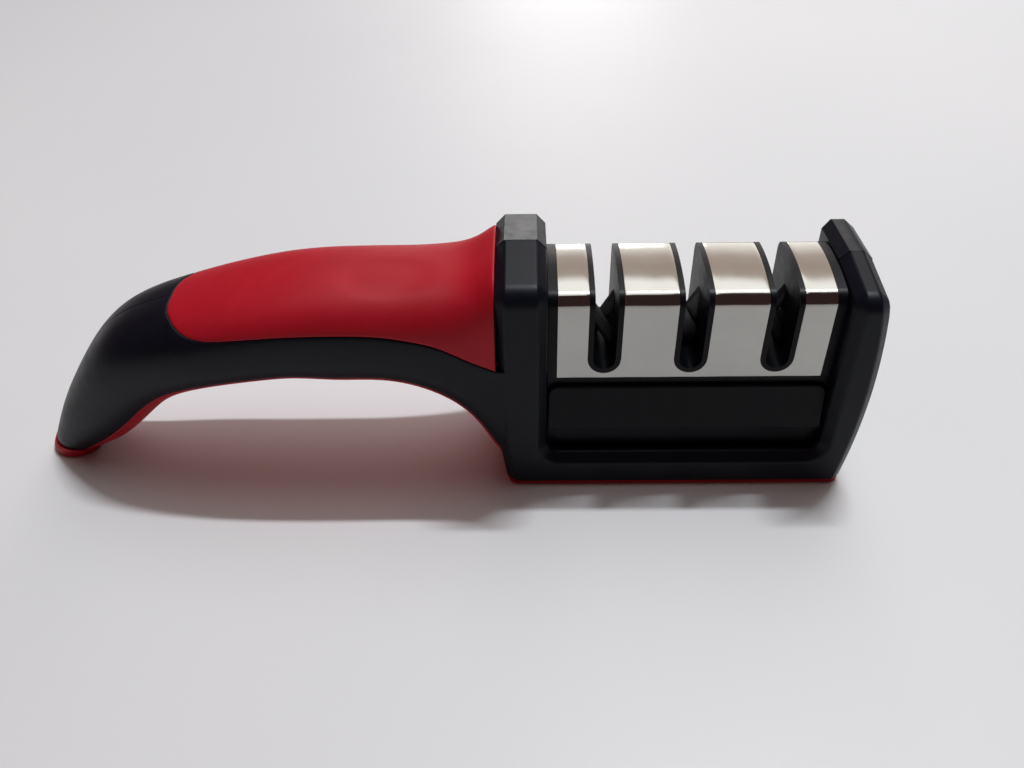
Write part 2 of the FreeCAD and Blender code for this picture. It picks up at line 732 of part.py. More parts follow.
def add_cylinder(radius, height, place, z):
    """A cylinder standing on z in the frame of place."""
    cylinder = doc.addObject("Part::Cylinder", "ScrewCylinder")
    bind(cylinder, "Radius", radius)
    bind(cylinder, "Height", height)
    cylinder.Placement = place.multiply(FreeCAD.Placement(Vector(0, 0, z), Rotation()))
    return cylinder


def add_screws(label, length, places):
    """Pan-head screws with a cross recess, and the same screws without it, as the shape of their holes.

    Each place has the seat of its screw's head at the origin, with the head upwards.
    """
    value = DIMENSIONS
    height = value["screw_head_height"]
    depth = value["screw_recess_depth"]
    screws = []
    blanks = []
    for place in places:
        head = add_cylinder(cell("screw_head") * 0.5, cell("screw_head_height"), place, 0.0)
        shank = add_cylinder(cell("screw_shank") * 0.5, length, place, -length.value)
        blank = doc.addObject("Part::Fuse", "ScrewBlank")
        blank.Base = head
        blank.Tool = shank
        blanks.append(blank)
        arms = []
        for turn in (0, 90):
            arm = doc.addObject("Part::Box", "ScrewRecessArm")
            bind(arm, "Length", cell("screw_head") * 0.6)
            bind(arm, "Width", cell("screw_recess_width"))
            bind(arm, "Height", cell("screw_recess_depth"))
            centring = Vector(-0.3 * value["screw_head"], -0.5 * value["screw_recess_width"], height - depth)
            spin = FreeCAD.Placement(Vector(), Rotation(Vector(0, 0, 1), turn))
            arm.Placement = place.multiply(spin).multiply(FreeCAD.Placement(centring, Rotation()))
            arms.append(arm)
        recess = doc.addObject("Part::MultiFuse", "ScrewRecess")
        recess.Shapes = arms
        screw = doc.addObject("Part::Cut", "Screw")
        screw.Base = blank
        screw.Tool = recess
        screws.append(screw)
    group = doc.addObject("Part::Compound", label)
    group.Label = label
    group.Links = screws
    holes = doc.addObject("Part::Compound", f"{label}_holes")
    holes.Links = blanks
    doc.recompute()
    return group, holes


def rearward_places(points):
    """Screw frames on the seats inside the rear shell, heads facing the rear."""
    turn = Rotation(Vector(0, 0, 1), Vector(0, 1, 0))
    return [FreeCAD.Placement(Vector(x, DIMENSIONS["screw_seat"], z), turn) for x, z in points]


def downward_places(points):
    """Screw frames in the base plate, heads flush with its underside."""
    turn = Rotation(Vector(1, 0, 0), 180)
    seat = FLOOR_TOP.value + DIMENSIONS["screw_head_height"]
    return [FreeCAD.Placement(Vector(x, y, seat), turn) for x, y in points]


# ---------------------------------------------------------------- assembly and export

def build():
    """Makes every sub-part and returns them."""
    first, second, third = SLOT_CENTRES
    parts = [make_base_pad()]
    parts += make_body()
    cover = make_cover()
    plate_screws, plate_holes = add_screws("core_plate_screws", cell("plate_screw_length"),
                                           downward_places(PLATE_SCREWS))
    coarse = make_rods("coarse_diamond", first, cell("coarse_apex"))
    medium = make_blades("medium_carbide", second, cell("medium_apex"))
    fine = make_rods("fine_ceramic", third, cell("fine_apex"))
    for side in (FRONT, REAR):
        grooves = coarse[side] + medium[side] + fine[side]
        parts.append(make_core_half(side, cover, grooves, plate_holes))
        parts.append(make_apron(side))
    parts += [cover, make_base_plate(plate_holes), plate_screws]
    parts += [item for item in doc.Objects if item.Label.endswith(("_rod", "_blade"))]
    for label, length, points in (("handle_shell_screws", "handle_screw_length", HANDLE_SCREWS),
                                  ("head_shell_screws", "head_screw_length", HEAD_SCREWS)):
        screws, _ = add_screws(label, cell(length), rearward_places(points))
        parts.append(screws)
    doc.recompute()
    return parts


def check(parts):
    """Stops on a failed feature or an invalid shape."""
    for item in doc.Objects:
        if "Invalid" in item.State or "Error" in item.State:
            raise RuntimeError(f"{item.Label} failed: {item.State}")
    for part in parts:
        if part.Shape.isNull() or not part.Shape.isValid() or not part.Shape.Solids:
            raise RuntimeError(f"{part.Label} has no valid solid")


def export(parts):
    """Writes each sub-part to a STEP file of its own."""
    os.makedirs("parts", exist_ok=True)
    for part in parts:
        part.Shape.exportStep(f"parts/{part.Label}.step")
        box = part.Shape.BoundBox
        print(f"{part.Label:28s} solids {len(part.Shape.Solids)} volume {part.Shape.Volume:9.1f} "
              f"x {box.XMin:7.2f} {box.XMax:7.2f} y {box.YMin:6.2f} {box.YMax:6.2f} "
              f"z {box.ZMin:5.2f} {box.ZMax:5.2f}")


sub_parts = build()
check(sub_parts)
export(sub_parts)
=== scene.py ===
"""Looks for the three-stage knife sharpener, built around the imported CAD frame.

Lengths in the tables below are millimetres and become metres when a mesh is made. The frame is the
CAD's own: +X from the handle's foot to the head, +Z up, and the parting plane of the shells at y = 0.
"""
import math

import bmesh
import bpy
import numpy as np
from mathutils import Matrix, Vector


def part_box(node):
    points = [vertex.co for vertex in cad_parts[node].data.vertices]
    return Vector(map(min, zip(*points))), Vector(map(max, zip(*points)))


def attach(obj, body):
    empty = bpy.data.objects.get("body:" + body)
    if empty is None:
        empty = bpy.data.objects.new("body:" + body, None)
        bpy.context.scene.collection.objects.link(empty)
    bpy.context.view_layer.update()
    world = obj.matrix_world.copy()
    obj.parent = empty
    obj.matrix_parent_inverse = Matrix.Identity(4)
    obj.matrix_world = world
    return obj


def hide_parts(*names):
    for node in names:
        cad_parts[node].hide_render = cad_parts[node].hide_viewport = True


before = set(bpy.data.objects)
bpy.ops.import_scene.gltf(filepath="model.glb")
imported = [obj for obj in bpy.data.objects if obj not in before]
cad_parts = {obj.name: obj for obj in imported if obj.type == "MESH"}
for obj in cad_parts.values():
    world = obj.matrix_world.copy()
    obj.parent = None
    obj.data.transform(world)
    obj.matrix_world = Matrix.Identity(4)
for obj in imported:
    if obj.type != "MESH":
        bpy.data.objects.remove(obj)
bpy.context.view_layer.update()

MM = 0.001
FRONT = -1
REAR = 1
SIDE_NAMES = {FRONT: "front", REAR: "rear"}

# ------------------------------------------------------------------ driving dimensions, millimetres

# Handle sections from the head to the foot: crest x, z, underside x, z, half width, squareness.
HANDLE_SECTIONS = np.array([
    (18.6, 60.0, 18.6, 1.9, 17.5, 4.8),
    (15.3, 59.2, 15.3, 6.4, 17.3, 4.2),
    (11.0, 56.6, 11.4, 13.6, 17.2, 3.6),
    (3.1, 54.9, 5.2, 21.3, 17.2, 3.0),
    (-9.4, 54.6, -8.5, 27.6, 17.2, 2.6),
    (-25.1, 54.2, -22.0, 28.4, 17.2, 2.6),
    (-34.0, 53.2, -31.0, 29.1, 17.1, 2.6),
    (-43.5, 51.3, -40.0, 28.5, 17.0, 2.6),
    (-59.2, 47.2, -53.0, 26.1, 16.2, 2.6),
    (-76.3, 40.3, -64.2, 21.3, 14.3, 2.6),
    (-87.8, 27.6, -73.4, 12.9, 11.9, 2.5),
    (-96.0, 14.6, -82.4, 5.2, 9.2, 2.4),
    (-102.5, 1.6, -90.2, 1.6, 6.6, 2.2),
])
# Lower edge of the red grip in the side view, from the head round to the crest.
GRIP_EDGE = np.array([
    (15.3, 36.7), (9.2, 39.6), (2.7, 43.2), (-4.0, 45.2), (-10.8, 46.3), (-17.5, 46.6), (-31.3, 46.3),
    (-43.8, 45.1), (-52.6, 44.6), (-56.2, 45.3), (-59.0, 46.2), (-61.4, 47.0), (-62.6, 50.0),
])
GRIP_END_X = 15.3
STRIP_SHARE = 0.88
STRIP_THICKNESS = 1.4
FOOT_RUN = 24.0
FOOT_STRIP_ANGLE = 0.42
SOLE_RIM = 1.9
SKIN_THICKNESS = 2.0

HALF_DEPTH = 17.6
CHAMFER = 2.2
SOLE = 1.6


def low(node, axis):
    """Lowest coordinate of a CAD node along an axis, in millimetres."""
    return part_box(node)[0][axis] / MM


def high(node, axis):
    """Highest coordinate of a CAD node along an axis, in millimetres."""
    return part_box(node)[1][axis] / MM


# ------------------------------------------------------------------ curves and grids

def smooth_curve(knots, values):
    """Natural cubic spline through the values at the knots, as a function of the knot parameter."""
    knots = np.asarray(knots, float)
    values = np.asarray(values, float)
    count = len(knots)
    steps = np.diff(knots)
    matrix = np.eye(count)
    right = np.zeros(values.shape)
    slopes = np.diff(values, axis=0) / steps.reshape(-1, *[1] * (values.ndim - 1))
    for i in range(1, count - 1):
        matrix[i, i - 1] = steps[i - 1]
        matrix[i, i] = 2 * (steps[i - 1] + steps[i])
        matrix[i, i + 1] = steps[i]
        right[i] = 6 * (slopes[i] - slopes[i - 1])
    bend = np.linalg.solve(matrix, right)

    def at(parameter):
        parameter = np.atleast_1d(np.asarray(parameter, float))
        i = np.clip(np.searchsorted(knots, parameter) - 1, 0, count - 2)
        step = steps[i]
        before = (knots[i + 1] - parameter) / step
        after = (parameter - knots[i]) / step
        if values.ndim > 1:
            step, before, after = (item[:, None] for item in (step, before, after))
        curl = (before ** 3 - before) * bend[i] + (after ** 3 - after) * bend[i + 1]
        return before * values[i] + after * values[i + 1] + curl * step ** 2 / 6

    return at


def chord_lengths(points):
    """Running length along a chain of points."""
    return np.concatenate([[0.0], np.cumsum(np.linalg.norm(np.diff(points, axis=0), axis=1))])


MIDDLES = (HANDLE_SECTIONS[:, 0:2] + HANDLE_SECTIONS[:, 2:4]) / 2
SECTION_KNOTS = chord_lengths(MIDDLES)
section_at = smooth_curve(SECTION_KNOTS, HANDLE_SECTIONS)
HANDLE_LENGTH = SECTION_KNOTS[-1]
GRIP_EDGE_KNOTS = chord_lengths(GRIP_EDGE)
EDGE_SAMPLES = 400
# The grip's lower edge as a fine chain, from its tip to the head, so that x rises along it.
grip_curve = smooth_curve(GRIP_EDGE_KNOTS, GRIP_EDGE)
edge_line = grip_curve(np.linspace(0, GRIP_EDGE_KNOTS[-1], EDGE_SAMPLES))[::-1]


def signed_power(value, power):
    """The power of a number's size, with the number's own sign."""
    return np.sign(value) * np.abs(value) ** power


def handle_points(along, angle):
    """Points of the handle's outer surface.

    Angle pi/2 is the crest, 0 the front side and -pi/2 the underside.
    """
    crest_x, crest_z, under_x, under_z, half, square = section_at(along).T
    across = signed_power(np.cos(angle), 2 / square)
    up = signed_power(np.sin(angle), 2 / square)
    x = (crest_x + under_x) / 2 + (crest_x - under_x) / 2 * up
    z = (crest_z + under_z) / 2 + (crest_z - under_z) / 2 * up
    return np.stack([x, -half * across, z], axis=-1)


def grip_edge_angle(along):
    """The angle on the front side where the grip begins, or pi/2 where there is none."""
    angles = np.linspace(-math.pi / 2, math.pi / 2, 721)
    points = handle_points(np.full(angles.shape, along), angles)
    limit = np.interp(points[:, 0], edge_line[:, 0], edge_line[:, 1], left=1000.0)
    above = points[:, 2] - limit
    if above[-1] <= 0:
        return math.pi / 2
    last = int(np.nonzero(above <= 0)[0][-1])
    share = above[last] / (above[last] - above[last + 1])
    return angles[last] + share * (angles[last + 1] - angles[last])


def bisect(function, start, end):
    """Where an increasing function of one number crosses zero."""
    for _ in range(40):
        middle = (start + end) / 2
        if function(middle) > 0:
            end = middle
        else:
            start = middle
    return (start + end) / 2


def crest_x(along):
    """X of the crest at a place along the handle."""
    return section_at(along)[0][0]


GRIP_GAP = 0.06
GRIP_START = bisect(lambda s: GRIP_END_X - GRIP_GAP - crest_x(s), 0.0, 20.0)
GRIP_TIP = bisect(lambda s: grip_edge_angle(s) - math.pi / 2 + 1e-6, 60.0, 100.0)


def strip_edge_angle(along):
    """The angle on the front side below which the soft strip covers the underside."""
    square = section_at(along)[0][5]
    arch = math.acos(STRIP_SHARE ** (square / 2))
    foot = np.clip((along - HANDLE_LENGTH + FOOT_RUN) / FOOT_RUN, 0, 1)
    return -(arch + (FOOT_STRIP_ANGLE - arch) * foot)


def make_object(name, vertices, faces):
    """A mesh object from vertices in millimetres."""
    mesh = bpy.data.meshes.new(name)
    mesh.from_pydata([tuple(v) for v in np.asarray(vertices) * MM], [], faces)
    mesh.validate()
    piece = bpy.data.objects.new(name, mesh)
    bpy.context.scene.collection.objects.link(piece)
    return piece


def grid_faces(rows, columns):
    """Quads of a grid of rows by columns of vertices."""
    faces = []
    for i in range(rows - 1):
        for j in range(columns - 1):
            a = i * columns + j
            faces.append((a, a + 1, a + columns + 1, a + columns))
    return faces


def clean(piece, sharp_angle=35, outward=True):
    """Merges doubles, drops flat faces, turns normals outwards and shades smooth between sharp edges."""
    bm = bmesh.new()
    bm.from_mesh(piece.data)
    bmesh.ops.remove_doubles(bm, verts=bm.verts, dist=2e-6)
    bmesh.ops.dissolve_degenerate(bm, edges=bm.edges, dist=1e-6)
    if outward:
        bmesh.ops.recalc_face_normals(bm, faces=bm.faces)
    for face in bm.faces:
        face.smooth = True
    for edge in bm.edges:
        edge.smooth = not (edge.is_manifold and edge.calc_face_angle(0.0) > math.radians(sharp_angle))
    bm.to_mesh(piece.data)
    bm.free()
    return piece


def weighted(piece):
    """Flat faces keep flat shading next to their rounded edges."""
    modifier = piece.modifiers.new("Weighted", "WEIGHTED_NORMAL")
    modifier.keep_sharp = True
    modifier.weight = 80
    return piece


# ------------------------------------------------------------------ handle surface pieces

EDGE_OFFSETS = np.array([0.0, 0.08, 0.2, 0.4, 0.8])
RIM_DROP = 0.32
RIM_REACH = 0.17
SCOOP_DEPTH = 0.32
SCOOP_CENTRE = (-9.5, -4.0)
SCOOP_REACH = (12.5, 7.5)
SCOOP_FLAT = 0.55
SCOOP_FADE = 0.5
SCOOP_LOWEST = 40
ROW_STEP = 1.4


def outward_normals(along, angle):
    """Unit normals of the handle's surface, by small steps along it and round it."""
    step = 1e-3
    down = handle_points(along + step, angle) - handle_points(along - step, angle)
    steep = np.abs(np.sin(2 * angle)) < 1e-3
    safe = np.where(steep, angle + 2e-3, angle)
    turn = handle_points(along, safe + step) - handle_points(along, safe - step)
    normal = np.cross(turn, down)
    normal /= np.maximum(np.linalg.norm(normal, axis=-1, keepdims=True), 1e-12)
    section = section_at(along)
    middle = np.stack([(section[:, 0] + section[:, 2]) / 2, np.zeros(len(section)),
                       (section[:, 1] + section[:, 3]) / 2], axis=-1)
    inside = np.sum(normal * (handle_points(along, angle) - middle), axis=-1) < 0
    return np.where(inside[:, None], -normal, normal)


def ring_angles(along, start, end, count, round_start, round_end):
    """Angles between two edges of a ring, with extra ones close to a rounded edge."""
    base = np.linspace(start, end, 60)
    points = handle_points(np.full(base.shape, along), base)
    length = chord_lengths(points)
    total = length[-1]
    inner = EDGE_OFFSETS * min(1.0, total / 4)
    first = inner if round_start else np.array([0.0])
    last = total - inner[::-1] if round_end else np.array([total])
    middle = np.linspace(first[-1], last[0], count + 2)[1:-1]
    return np.interp(np.concatenate([first, middle, last]), length, base)


def along_values(start, end, step, fine_start=False, fine_end=False):
    """Places along the handle, closer together at a rounded end."""
    inner = EDGE_OFFSETS
    first = start + inner if fine_start else np.array([start])
    last = end - inner[::-1] if fine_end else np.array([end])
    count = max(2, int((last[0] - first[-1]) / step))
    return np.concatenate([first, np.linspace(first[-1], last[0], count + 1)[1:-1], last])


def distance_to(points, line):
    """Distance of each point to the nearest point of a polyline."""
    best = np.full(len(points), 1e9)
    for start, end in zip(line, line[1:]):
        span = end - start
        share = np.clip(((points - start) @ span) / max(span @ span, 1e-12), 0, 1)
        best = np.minimum(best, np.linalg.norm(points - start - share[:, None] * span, axis=1))
    return best


def grip_rim(count=160):
    """The front half of the grip's edge on the handle surface, from the head to the crest at the tip."""
    places = GRIP_START + (GRIP_TIP - GRIP_START) * np.sin(np.linspace(0, math.pi / 2, count))
    return np.array([handle_points(np.array([s]), np.array([grip_edge_angle(s)]))[0] for s in places])


def rounded_drop(distance):
    """How far a moulded edge is drawn in at a distance from its rim."""
    return RIM_DROP * np.exp(-(np.asarray(distance) / RIM_REACH))


def thumb_scoop(points):
    """Depth of the shallow thumb hollow in the grip's top."""
    across = (points[:, 1] - SCOOP_CENTRE[1]) / SCOOP_REACH[1]
    along = (points[:, 0] - SCOOP_CENTRE[0]) / SCOOP_REACH[0]
    reach = np.sqrt(across ** 2 + along ** 2)
    fade = np.clip((reach - SCOOP_FLAT) / SCOOP_FADE, 0, 1)
    depth = 1.0 - fade ** 2 * (3 - 2 * fade)
    return SCOOP_DEPTH * depth * (points[:, 2] > SCOOP_LOWEST)


def surface_piece(name, places, angles, rims, thickness, scoop=False):
    """A grid on the handle's surface with moulded edges along its rims, thickened inwards."""
    rows, columns = len(places), len(angles[0])
    along = np.repeat(places, columns)
    angle = np.concatenate(angles)
    points = handle_points(along, angle)
    normals = outward_normals(along, angle)
    drop = rounded_drop(np.min([distance_to(points, rim) for rim in rims], axis=0)) if rims else 0.0
    if scoop:
        drop = drop + thumb_scoop(points)
    points = points - normals * np.reshape(drop, (-1, 1))
    piece = make_object(name, points, grid_faces(rows, columns))
    clean(piece, outward=False)
    turn_outwards(piece, normals, points)
    solidify = piece.modifiers.new("Thickness", "SOLIDIFY")
    solidify.thickness = thickness * MM
    solidify.offset = -1.0
    return piece


def turn_outwards(piece, normals, points):
    """Flips the faces of an open grid if they look inwards."""
    mesh = piece.data
    score = 0.0
    for polygon in list(mesh.polygons)[:: max(1, len(mesh.polygons) // 200)]:
        centre = np.array(polygon.center) / MM
        nearest = int(np.argmin(np.sum((points - centre) ** 2, axis=1)))
        score += float(np.dot(normals[nearest], np.array(polygon.normal)))
    if score < 0:
        mesh.flip_normals()


def mirrored(line):
    """A line on the handle's other side."""
    return line * np.array([1, -1, 1])


def make_grip():
    """Red soft grip moulded over the handle's top."""
    places = along_values(GRIP_START, GRIP_TIP - 0.01, ROW_STEP, fine_start=True, fine_end=True)
    angles = []
    for s in places:
        edge = grip_edge_angle(s)
        angles.append(ring_angles(s, edge, math.pi - edge, 60, True, True))
    rim = grip_rim()
    right = np.array([handle_points(np.array([GRIP_START]), np.array([a]))[0] for a in angles[0]])
    return surface_piece("soft_grip_skin_moulded", places, angles, [rim, mirrored(rim), right],
                         SKIN_THICKNESS, scoop=True)


GRIP_FLOOR_COLUMNS = 14
SEAM_COLUMNS = 6
SEAM_DEPTH = 0.09
SEAM_REACH = 0.15
STRIP_FLOOR_COLUMNS = 10


def handle_ring(along, grip_depth, rims, seam):
    """One closed ring of the front half of the black handle, as points."""
    start = strip_edge_angle(along)
    end = grip_edge_angle(max(along, GRIP_START))
    outer = ring_angles(along, start, end, 40, True, True)
    floor = np.linspace(end, math.pi / 2, GRIP_FLOOR_COLUMNS)
    below = np.linspace(-math.pi / 2, start, STRIP_FLOOR_COLUMNS)
    angle = np.concatenate([outer, floor, below])
    places = np.full(len(angle), along)
    points = handle_points(places, angle)
    normals = outward_normals(places, angle)
    drop = rounded_drop(np.min([distance_to(points, rim) for rim in rims], axis=0))
    drop = np.maximum(drop, SEAM_DEPTH * np.exp(-distance_to(points, seam) / SEAM_REACH))
    drop[len(outer):len(outer) + len(floor)] = grip_depth if grip_depth else drop[len(outer) - 1]
    drop[len(outer) + len(floor):] = STRIP_THICKNESS
    points = points - normals * drop[:, None]
    crest = points[len(outer) + len(floor) - 1]
    bottom = points[len(outer) + len(floor)]
    crest[1] = bottom[1] = 0.0
    share = np.linspace(0, 1, SEAM_COLUMNS + 2)[1:-1, None]
    return np.concatenate([points[:len(outer) + len(floor)], crest + (bottom - crest) * share,
                           points[len(outer) + len(floor):]])


def loop_solid(name, rings):
    """A closed solid from equal closed rings, capped at both ends."""
    columns = len(rings[0])
    faces = []
    for i in range(len(rings) - 1):
        for j in range(columns):
            a, b = i * columns + j, i * columns + (j + 1) % columns
            faces.append((a, b, b + columns, a + columns))
    faces.append(tuple(range(columns))[::-1])
    faces.append(tuple(range((len(rings) - 1) * columns, len(rings) * columns)))
    return clean(make_object(name, np.concatenate(rings), faces))


def make_handle_half():
    """The black handle in front of the parting plane, as a solid with room for the soft parts."""
    last = HANDLE_LENGTH - SOLE_RIM
    before = np.concatenate([along_values(0.0, GRIP_START, 0.8)[:-1],
                             along_values(GRIP_START, GRIP_TIP, ROW_STEP, fine_end=True)])
    after = along_values(GRIP_TIP, last, 1.2, fine_start=True)
    strip_line = np.array([handle_points(np.array([s]), np.array([strip_edge_angle(s)]))[0]
                           for s in np.linspace(0, last, 200)])
    seam = np.array([handle_points(np.array([s]), np.array([math.pi / 2]))[0]
                     for s in np.linspace(GRIP_TIP, last, 60)])
    end_line = handle_points(np.full(40, last), np.linspace(-math.pi / 2, math.pi / 2, 40))
    rims = [grip_rim(), strip_line, end_line]
    rings = [handle_ring(s, SKIN_THICKNESS, rims, seam) for s in before]
    rings += [handle_ring(s, 0.0, rims, seam) for s in after]
    return loop_solid("handle_half", rings)


def mirror_mesh(piece):
    """Turns a front piece into its rear twin."""
    piece.data.transform(Matrix.Scale(-1, 4, (0, 1, 0)))
    piece.data.flip_normals()


def make_strip():
    """Red soft strip under the arch and down the foot to the sole's rim; the sole, one moulded piece with
    it, is made by make_sole.
    """
    places = along_values(0.0, HANDLE_LENGTH - SOLE_RIM, ROW_STEP)
    angles = []
    line = []
    for s in places:
        edge = strip_edge_angle(s)
        angles.append(ring_angles(s, -math.pi - edge, edge, 40, True, True))
        line.append(handle_points(np.array([s]), np.array([edge]))[0])
    line = np.array(line)
    return surface_piece("soft_underside_strip_moulded", places, angles, [line, mirrored(line)],
                         STRIP_THICKNESS)


def make_sole():
    """The red foot cap: the handle's last ring, turned down to the table with a rounded rim."""
    count = 96
    angle = np.linspace(0, 2 * math.pi, count, endpoint=False)
    top = handle_points(np.full(count, HANDLE_LENGTH - SOLE_RIM), angle)
    base = handle_points(np.full(count, HANDLE_LENGTH), angle)
    centre = base.mean(axis=0)
    rows = []
    for share, grow, z in ((0.0, -0.05, None), (0.04, 0.16, None), (0.5, 0.22, None), (1.0, 0.22, None),
                           (1.0, 0.2, 0.45), (1.0, 0.02, 0.15), (1.0, -0.35, 0.0)):
        ring = top + (base - top) * share
        away = ring - centre
        away[:, 2] = 0
        away /= np.linalg.norm(away, axis=1, keepdims=True)
        ring = ring + away * grow
        if z is not None:
            ring[:, 2] = z
        rows.append(ring)
    vertices = np.concatenate(rows)
    faces = []
    for i in range(len(rows) - 1):
        for j in range(count):
            a, b = i * count + j, i * count + (j + 1) % count
            faces.append((a, b, b + count, a + count))
    faces.append(tuple(range(count)))
    faces.append(tuple(range((len(rows) - 1) * count, len(rows) * count)))
    return clean(make_object("foot_sole_cap", vertices, faces), sharp_angle=60)


# ------------------------------------------------------------------ head frame

LEFT_OUTER = 15.3
LEFT_INNER = 27.0
RIGHT_INNER = 93.1
TOE = 17.2
HEEL = 100.2
BAR_TOP = 9.8
RECESS_CORNER = 3.5
RIDGES = {"left": (60.9, 57.7), "right": (57.1, 55.6)}
HEEL_BULGE = (102.5, 28.5)
EAVE_ROUNDING = {FRONT: 4.0, REAR: 2.0}
SOFT_EDGE = 0.5
SEAM_EDGE = 0.16
ROOF_HEIGHT = 50
SLOT_PITCH = 19.84
SLOT_CENTRES = [(LEFT_INNER + RIGHT_INNER) / 2 + SLOT_PITCH * k for k in (-1, 0, 1)]


def arc_points(start, through, end, count):
    """Points on the arc through three points, without its start."""
    (ax, az), (bx, bz), (cx, cz) = start, through, end
    twice = 2 * (ax * (bz - cz) + bx * (cz - az) + cx * (az - bz))
    squares = (ax * ax + az * az, bx * bx + bz * bz, cx * cx + cz * cz)
    x = (squares[0] * (bz - cz) + squares[1] * (cz - az) + squares[2] * (az - bz)) / twice
    z = (squares[0] * (cx - bx) + squares[1] * (ax - cx) + squares[2] * (bx - ax)) / twice
    radius = math.hypot(ax - x, az - z)
    angles = [math.atan2(p[1] - z, p[0] - x) for p in (start, through, end)]
    low_turn, high_turn = angles[0], angles[2]
    while high_turn - low_turn > math.pi:
        high_turn -= 2 * math.pi
    while high_turn - low_turn < -math.pi:
        high_turn += 2 * math.pi
    turns = [low_turn + (high_turn - low_turn) * k / count for k in range(1, count + 1)]
    return [(x + radius * math.cos(turn), z + radius * math.sin(turn)) for turn in turns]


def frame_outline():
    """Corners of the U in the side view, anticlockwise from the toe."""
    corner = RECESS_CORNER
    slant = corner * (1 - math.sqrt(0.5))
    left_top, right_top = RIDGES["left"][0], RIDGES["right"][0]
    heel = arc_points((HEEL, SOLE), HEEL_BULGE, (HEEL - 0.7, left_top + 1), 120)
    outline = [(TOE, SOLE), (HEEL, SOLE)]
    outline += [point for point in heel[3::4] if point[1] < RIDGES["right"][1] - 2 * CHAMFER]
    outline += [(min(heel, key=lambda point: abs(point[1] - right_top))[0], right_top)]
    outline += [(RIGHT_INNER, right_top), (RIGHT_INNER, BAR_TOP + corner)]
    outline += arc_points((RIGHT_INNER, BAR_TOP + corner), (RIGHT_INNER - slant, BAR_TOP + slant),
                          (RIGHT_INNER - corner, BAR_TOP), 6)
    outline += [(LEFT_INNER + corner, BAR_TOP)]
    outline += arc_points((LEFT_INNER + corner, BAR_TOP), (LEFT_INNER + slant, BAR_TOP + slant),
                          (LEFT_INNER, BAR_TOP + corner), 6)
    outline += [(LEFT_INNER, left_top), (LEFT_OUTER, left_top), (LEFT_OUTER, 14.0)]
    return outline


def prism(outline, near, far):
    """A straight prism between two depths from an outline in the side view."""
    bm = bmesh.new()
    first = [bm.verts.new((x, near, z)) for x, z in outline]
    second = [bm.verts.new((x, far, z)) for x, z in outline]
    bm.faces.new(first)
    bm.faces.new(second[::-1])
    count = len(outline)
    for i in range(count):
        bm.faces.new((first[i], second[i], second[(i + 1) % count], first[(i + 1) % count]))
    bmesh.ops.recalc_face_normals(bm, faces=bm.faces)
    return bm


def finish_mesh(bm, name):
    """A millimetre bmesh as an object in metres."""
    bmesh.ops.scale(bm, vec=(MM, MM, MM), verts=bm.verts)
    mesh = bpy.data.meshes.new(name)
    bm.to_mesh(mesh)
    bm.free()
    piece = bpy.data.objects.new(name, mesh)
    bpy.context.scene.collection.objects.link(piece)
    return piece


def bevel_edges(bm, wanted, offset, segments):
    """Bevels the edges for which wanted(edge) is true."""
    edges = [edge for edge in bm.edges if len(edge.link_faces) == 2 and wanted(edge)]
    bmesh.ops.bevel(bm, geom=edges, offset=offset, offset_type="OFFSET", segments=segments, profile=0.5,
                    affect="EDGES", clamp_overlap=True)


def is_sharp(edge, degrees=18):
    """Whether the faces at an edge turn by more than an angle."""
    return edge.calc_face_angle(0.0) > math.radians(degrees)


def make_frame_half(side):
    """Half of the U-shaped frame, drawn at the front, with chamfers and softened edges."""
    bm = prism(frame_outline(), 0.0, -HALF_DEPTH)
    for vertex in bm.verts:
        ridge, eave = RIDGES["left"] if vertex.co.x < SLOT_CENTRES[1] else RIDGES["right"]
        if vertex.co.z > ridge - 0.01:
            vertex.co.z += (ridge - eave) * vertex.co.y / HALF_DEPTH

    def in_front(edge):
        return all(v.co.y < -HALF_DEPTH + 0.01 for v in edge.verts)

    def above_sole(edge):
        return any(v.co.z > SOLE + 0.01 for v in edge.verts)

    def on_seam(edge):
        return all(v.co.y > -0.01 for v in edge.verts)

    def on_roof(edge):
        return all(v.co.z > ROOF_HEIGHT for v in edge.verts) and is_sharp(edge)

    def across(edge):
        return abs(edge.verts[0].co.x - edge.verts[1].co.x) > 1

    def chamfered(edge):
        corner = is_sharp(edge, 60) and not on_seam(edge) and not across(edge)
        rim = is_sharp(edge) and in_front(edge) and not on_roof(edge)
        return above_sole(edge) and (corner or rim)

    bevel_edges(bm, lambda e: in_front(e) and on_roof(e) and across(e), EAVE_ROUNDING[side], 8)
    bevel_edges(bm, chamfered, CHAMFER, 1)
    bevel_edges(bm, lambda e: is_sharp(e) and not on_seam(e) and above_sole(e), SOFT_EDGE, 3)
    bevel_edges(bm, lambda e: on_seam(e) and is_sharp(e) and above_sole(e), SEAM_EDGE, 2)
    return finish_mesh(bm, "frame_half")


def combine(piece, other, operation):
    """A boolean of two solids, kept in the first; the second is removed."""
    modifier = piece.modifiers.new("Boolean", "BOOLEAN")
    modifier.operation = operation
    modifier.solver = "EXACT"
    modifier.object = other
    graph = bpy.context.evaluated_depsgraph_get()
    mesh = bpy.data.meshes.new_from_object(piece.evaluated_get(graph))
    piece.modifiers.clear()
    piece.data = mesh
    bpy.data.objects.remove(other)
    return piece


def cylinder_bm(centre, radius, near, far, count=40):
    """A cylinder along Y between two depths, with vertices in millimetres."""
    outline = [(centre[0] + radius * math.cos(2 * math.pi * k / count),
                centre[1] + radius * math.sin(2 * math.pi * k / count)) for k in range(count)]
    return prism(outline, near, far)


SCREWS = [(-62.0, 34.5), (-22.0, 40.5), (21.2, 47.0), (21.2, 12.0), (97.6, 45.0), (97.6, 12.0)]
SCREW_HEAD = 4.4
SCREW_SEAT = 8.0


